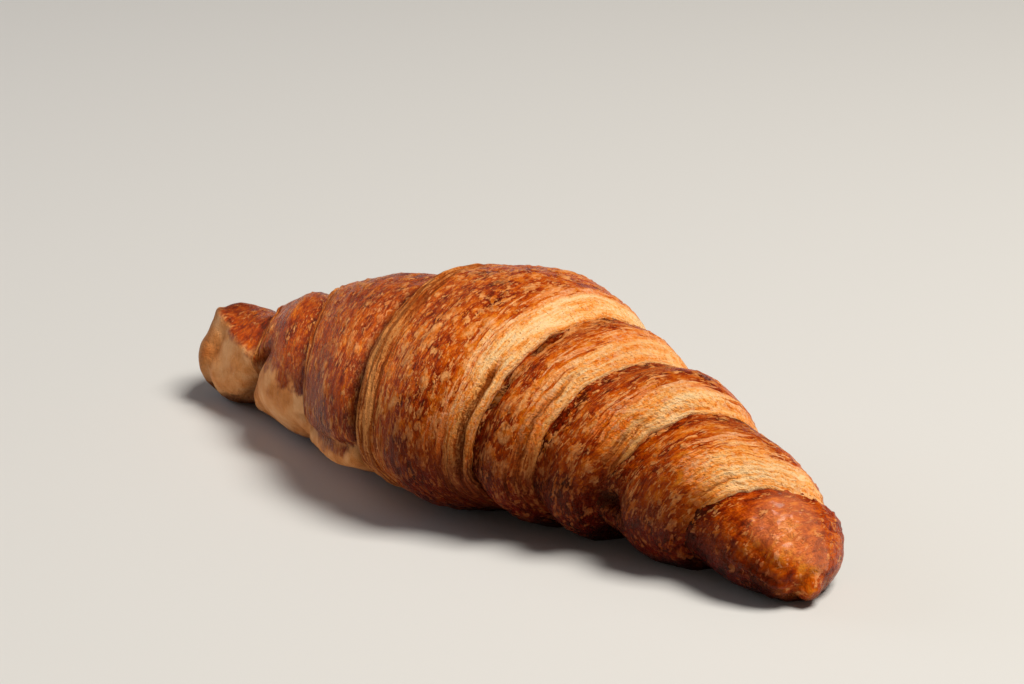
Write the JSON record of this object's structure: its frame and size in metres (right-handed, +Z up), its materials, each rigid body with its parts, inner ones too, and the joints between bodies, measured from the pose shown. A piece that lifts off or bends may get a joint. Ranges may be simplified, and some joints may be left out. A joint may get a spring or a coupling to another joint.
{
  "type": "croissant",
  "caption": "Baked straight croissant of rolled laminated dough, with stepped slanted wraps, a thick and a thin tip and a flat baked underside.",
  "frame": {"origin": "on the table under the middle of the croissant's box", "axes": "+X along the roll towards the thin tip, +Y across it to the back, +Z up from the baked underside"},
  "size_m": [0.15, 0.0648, 0.04],
  "materials": {
    "crust": "egg-washed baked crust, orange brown with pale cut layers, softly glossy"
  },
  "bodies": {
    "root": {"croissant": "crust"}
  },
  "joints": []
}
